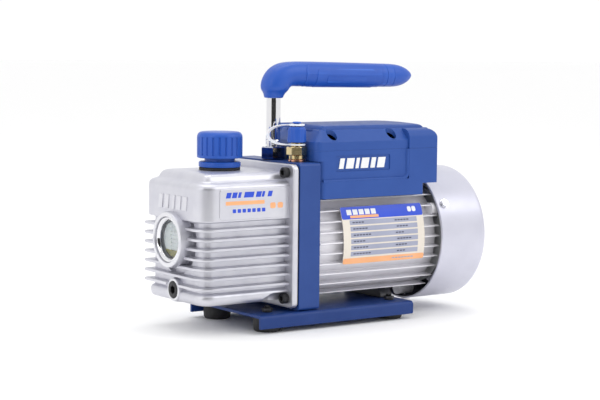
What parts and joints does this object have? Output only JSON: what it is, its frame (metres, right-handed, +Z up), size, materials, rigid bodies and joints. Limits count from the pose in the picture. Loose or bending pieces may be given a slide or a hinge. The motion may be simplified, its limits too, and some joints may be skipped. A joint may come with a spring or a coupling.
{
  "type": "rotary vane vacuum pump",
  "caption": "Portable refrigeration vacuum pump: finned oil tank with sight glass, blue bracket, finned electric motor with fan cover, terminal box and carry handle.",
  "frame": {"origin": "centre of the overall length and width, on the floor under the rubber feet", "axes": "+X from the oil tank's sight glass to the motor's fan cover, +Y to the side with the power inlet, +Z up"},
  "size_m": [0.2912, 0.1152, 0.2155],
  "materials": {
    "blue_paint": "satin enamel",
    "blue_plastic": "fine-grained moulding",
    "bright_blue_plastic": "smooth moulding",
    "cast_aluminium": "bead-blasted casting",
    "silver_paint": "satin silver paint",
    "chrome": "bright plate",
    "steel": "machined",
    "black_steel": "black oxide",
    "brass": "machined",
    "copper": "copper, plain",
    "rubber": "moulded black",
    "white_plastic": "smooth moulding",
    "glass": "clear",
    "label": "printed foil",
    "red_plastic": "smooth moulding"
  },
  "bodies": {
    "frame": {"base_plate": "blue_paint", "pump_bracket": "blue_paint", "terminal_box": "blue_plastic", "terminal_box_cover": "blue_plastic", "handle_grip": "bright_blue_plastic", "oil_tank": "cast_aluminium", "motor_housing": "cast_aluminium", "rear_end_shield": "cast_aluminium", "rear_motor_support": "cast_aluminium", "fan_cover": "silver_paint", "run_capacitor": "silver_paint", "handle_post": "chrome", "handle_nut": "chrome", "sight_glass_ring": "chrome", "fan_cover_screw_1": "chrome", "fan_cover_screw_2": "chrome", "fan_cover_screw_3": "chrome", "foot_stud_1": "steel", "foot_stud_2": "steel", "foot_stud_3": "steel", "foot_stud_4": "steel", "pump_cylinder": "steel", "pump_end_plate": "steel", "stator_core": "steel", "bearing_front": "steel", "bearing_rear": "steel", "box_screw_1": "steel", "box_screw_2": "steel", "box_screw_3": "steel", "box_screw_4": "steel", "tank_bolt_1": "black_steel", "tank_bolt_2": "black_steel", "tank_bolt_3": "black_steel", "tank_bolt_4": "black_steel", "drain_plug": "black_steel", "intake_fitting": "brass", "intake_washer": "copper", "stator_windings": "copper", "foot_1": "rubber", "foot_2": "rubber", "foot_3": "rubber", "foot_4": "rubber", "tank_gasket": "rubber", "power_inlet": "rubber", "switch_housing": "rubber", "sight_glass_reflector": "white_plastic", "sight_glass_lens": "glass", "name_plate": "label"},
    "shaft_line": {"motor_shaft": "steel", "rotor_core": "steel", "cooling_fan": "white_plastic", "pump_rotor": "steel", "vane_1": "black_steel", "vane_2": "black_steel"},
    "switch_rocker": {"switch_rocker": "red_plastic"},
    "cap_seal": {"cap_gasket": "rubber"},
    "exhaust_cap": {"exhaust_cap_stem": "bright_blue_plastic", "exhaust_cap_hood": "bright_blue_plastic"},
    "strap": {"dust_cap_strap": "white_plastic"},
    "dust_cap": {"dust_cap": "bright_blue_plastic"}
  },
  "joints": [
    {"name": "shaft_spin", "type": "hinge", "parent": "frame", "child": "shaft_line", "pos_m": [0, 0, 0.0666], "axis": [1, 0, 0], "continuous": true},
    {"name": "switch_rock", "type": "hinge", "parent": "frame", "child": "switch_rocker", "pos_m": [0.072, 0.0481, 0.131], "axis": [1, 0, 0], "range_deg": [-18, 0]},
    {"name": "exhaust_cap_lift", "type": "slide", "parent": "frame", "child": "cap_seal", "axis": [0, 0, 1], "range_m": [0, 0.009]},
    {"name": "exhaust_cap_turn", "type": "hinge", "parent": "cap_seal", "child": "exhaust_cap", "pos_m": [-0.0957, 0, 0.14], "axis": [0, 0, 1], "range_deg": [0, 1080]},
    {"name": "dust_cap_lift", "type": "slide", "parent": "frame", "child": "strap", "axis": [0, 0, 1], "range_m": [0, 0.0096], "deforming": ["dust_cap_strap"]},
    {"name": "dust_cap_turn", "type": "hinge", "parent": "strap", "child": "dust_cap", "pos_m": [-0.042, -0.0315, 0.155], "axis": [0, 0, 1], "range_deg": [0, 2700]}
  ],
  "couplings": [
    {"joint": "exhaust_cap_turn", "follows": "exhaust_cap_lift", "rad_per_m": 2094.4},
    {"joint": "dust_cap_turn", "follows": "dust_cap_lift", "rad_per_m": 4908.7}
  ]
}
